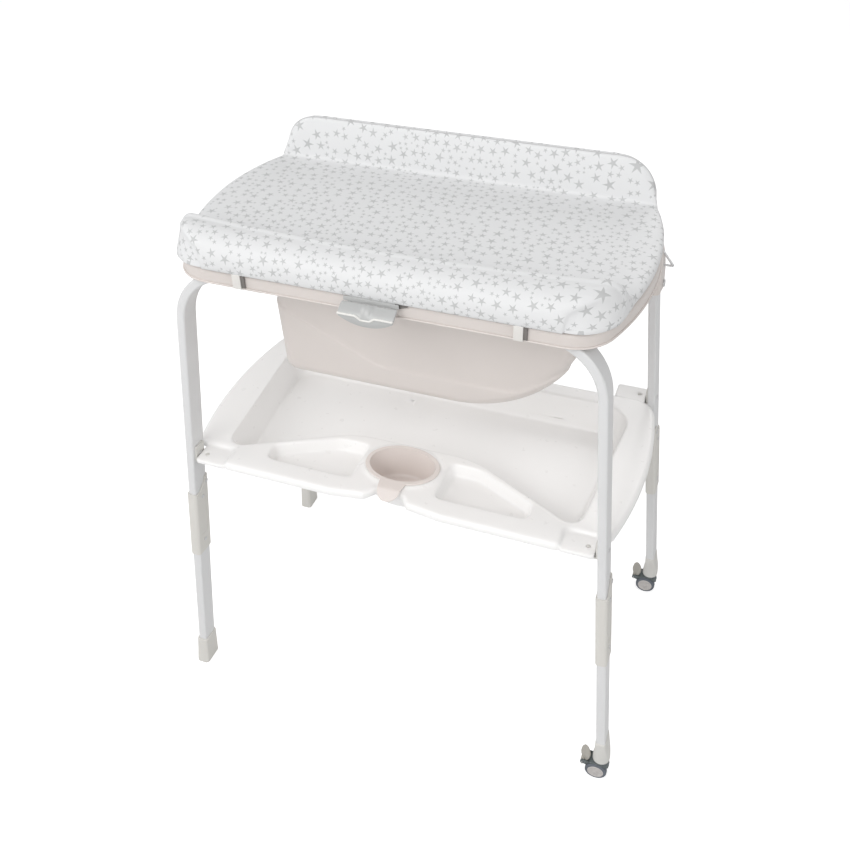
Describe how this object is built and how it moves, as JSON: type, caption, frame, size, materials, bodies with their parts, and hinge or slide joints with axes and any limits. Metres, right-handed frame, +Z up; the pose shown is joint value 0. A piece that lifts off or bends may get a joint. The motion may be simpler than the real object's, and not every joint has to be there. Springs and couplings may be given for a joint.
{
  "type": "baby changing table with bathtub",
  "caption": "Free-standing baby changing table: padded flip-up top with a star print over a deep bathtub, storage tray with a cup, splayed tube legs with casters at one end",
  "frame": {"origin": "centre of the overall footprint, on the floor", "axes": "+Z up, X along the table with the casters at +X, the front with the latch and cup faces -Y"},
  "size_m": [0.8117, 0.5044, 0.9582],
  "materials": {
    "leg_tube": "white powder coat",
    "joint_sleeve": "light warm grey moulding",
    "foot_cap": "light warm grey moulding",
    "caster_socket": "light grey moulding",
    "bracket": "light grey moulding",
    "steel": "plain steel",
    "tub_shell": "warm grey moulding",
    "tray_shell": "white moulding",
    "wire": "plated wire",
    "hinge_metal": "white",
    "board_panel": "off-white",
    "mat_cover": "white coated cloth with a print of grey stars",
    "clip_plastic": "white",
    "latch_plastic": "mid grey",
    "cup_plastic": "warm grey moulding",
    "plug_rubber": "grey rubber",
    "caster_hood": "blue grey",
    "pedal_plastic": "light grey",
    "tyre": "dark grey rubber",
    "hub_cap": "off-white"
  },
  "bodies": {
    "frame": {"front_frame": "leg_tube", "left_rear_upper_leg": "leg_tube", "right_rear_upper_leg": "leg_tube", "left_pivot_pin": "steel", "right_pivot_pin": "steel", "left_front_lower_leg": "leg_tube", "left_rear_lower_leg": "leg_tube", "right_front_lower_leg": "leg_tube", "right_rear_lower_leg": "leg_tube", "left_front_coupler": "joint_sleeve", "left_rear_coupler": "joint_sleeve", "right_front_coupler": "joint_sleeve", "right_rear_coupler": "joint_sleeve", "left_front_tray_hanger": "bracket", "left_rear_tray_hanger": "bracket", "right_front_tray_hanger": "bracket", "right_rear_tray_hanger": "bracket", "leg_screws": "steel", "hanger_screws": "steel", "left_front_foot": "foot_cap", "left_rear_foot": "foot_cap", "front_caster_socket": "caster_socket", "rear_caster_socket": "caster_socket", "tub": "tub_shell", "wire_rail": "wire", "bar_clamps": "bracket", "tray": "tray_shell", "hinge_leaves_fixed": "hinge_metal", "hinge_pins": "steel"},
    "changing_top": {"board": "board_panel", "mat": "mat_cover", "clips": "clip_plastic", "hinge_leaves_moving": "hinge_metal", "latch_bracket": "latch_plastic", "latch_pin": "steel"},
    "latch": {"latch_paddle": "latch_plastic"},
    "cup": {"cup": "cup_plastic"},
    "drain_plug": {"drain_plug": "plug_rubber"},
    "front_caster": {"front_caster_hood": "caster_hood", "front_caster_axle": "steel", "front_pedal_pin": "steel"},
    "front_pedal": {"front_brake_pedal": "pedal_plastic"},
    "front_outer_wheel": {"front_outer_wheel": "tyre", "front_outer_hub_cap": "hub_cap"},
    "front_inner_wheel": {"front_inner_wheel": "tyre", "front_inner_hub_cap": "hub_cap"},
    "rear_caster": {"rear_caster_hood": "caster_hood", "rear_caster_axle": "steel", "rear_pedal_pin": "steel"},
    "rear_pedal": {"rear_brake_pedal": "pedal_plastic"},
    "rear_outer_wheel": {"rear_outer_wheel": "tyre", "rear_outer_hub_cap": "hub_cap"},
    "rear_inner_wheel": {"rear_inner_wheel": "tyre", "rear_inner_hub_cap": "hub_cap"}
  },
  "joints": [
    {"name": "top_hinge", "type": "hinge", "parent": "frame", "child": "changing_top", "pos_m": [0, 0.208, 0.886], "axis": [-1, 0, 0], "range_deg": [0, 95]},
    {"name": "latch_hinge", "type": "hinge", "parent": "changing_top", "child": "latch", "pos_m": [0, -0.1998, 0.8715], "axis": [-1, 0, 0], "range_deg": [0, 25], "stiffness_Nm_per_rad": 0.4},
    {"name": "cup_lift", "type": "slide", "parent": "frame", "child": "cup", "axis": [0, 0, 1], "range_m": [0, 0.06]},
    {"name": "plug_lift", "type": "slide", "parent": "frame", "child": "drain_plug", "axis": [0, 0, 1], "range_m": [0, 0.014]},
    {"name": "front_swivel", "type": "hinge", "parent": "frame", "child": "front_caster", "pos_m": [0.38855, -0.22635, 0.066], "axis": [0, 0, 1], "continuous": true},
    {"name": "front_pedal_tilt", "type": "hinge", "parent": "front_caster", "child": "front_pedal", "pos_m": [0.35855, -0.22635, 0.033], "axis": [0, -1, 0], "range_deg": [0, 14]},
    {"name": "front_outer_roll", "type": "hinge", "parent": "front_caster", "child": "front_outer_wheel", "pos_m": [0.38355, -0.22635, 0.019], "axis": [0, 1, 0], "continuous": true},
    {"name": "front_inner_roll", "type": "hinge", "parent": "front_caster", "child": "front_inner_wheel", "pos_m": [0.38355, -0.22635, 0.019], "axis": [0, 1, 0], "continuous": true},
    {"name": "rear_swivel", "type": "hinge", "parent": "frame", "child": "rear_caster", "pos_m": [0.38855, 0.22635, 0.066], "axis": [0, 0, 1], "continuous": true},
    {"name": "rear_pedal_tilt", "type": "hinge", "parent": "rear_caster", "child": "rear_pedal", "pos_m": [0.35855, 0.22635, 0.033], "axis": [0, -1, 0], "range_deg": [0, 14]},
    {"name": "rear_outer_roll", "type": "hinge", "parent": "rear_caster", "child": "rear_outer_wheel", "pos_m": [0.38355, 0.22635, 0.019], "axis": [0, 1, 0], "continuous": true},
    {"name": "rear_inner_roll", "type": "hinge", "parent": "rear_caster", "child": "rear_inner_wheel", "pos_m": [0.38355, 0.22635, 0.019], "axis": [0, 1, 0], "continuous": true}
  ]
}
